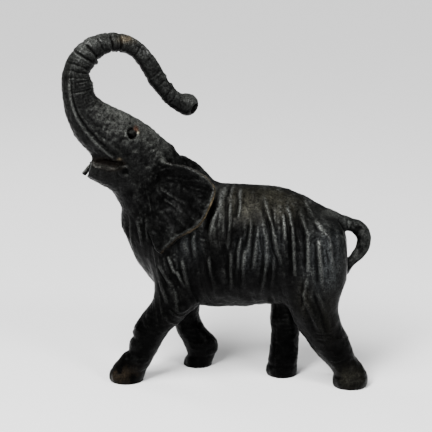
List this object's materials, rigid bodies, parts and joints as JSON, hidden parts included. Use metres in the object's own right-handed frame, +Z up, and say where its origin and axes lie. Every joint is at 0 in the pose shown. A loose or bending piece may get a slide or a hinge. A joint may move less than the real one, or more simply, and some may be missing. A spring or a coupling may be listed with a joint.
{
  "type": "elephant statuette",
  "caption": "Striding elephant with raised, curled-back trunk and laid-back ear, a dark-patinated hollow bronze cast in one piece that stands on its own feet.",
  "frame": {"origin": "on the ground, under the middle of the whole figure's bounding box", "axes": "+Z up, -X toward the elephant's head, -Y toward the elephant's left side"},
  "size_m": [0.384, 0.1636, 0.4497],
  "materials": {
    "bronze": "black-brown patinated bronze, satin, rubbed lighter on folds, ear rim and front foot"
  },
  "bodies": {
    "root": {"elephant": "bronze"}
  },
  "joints": []
}
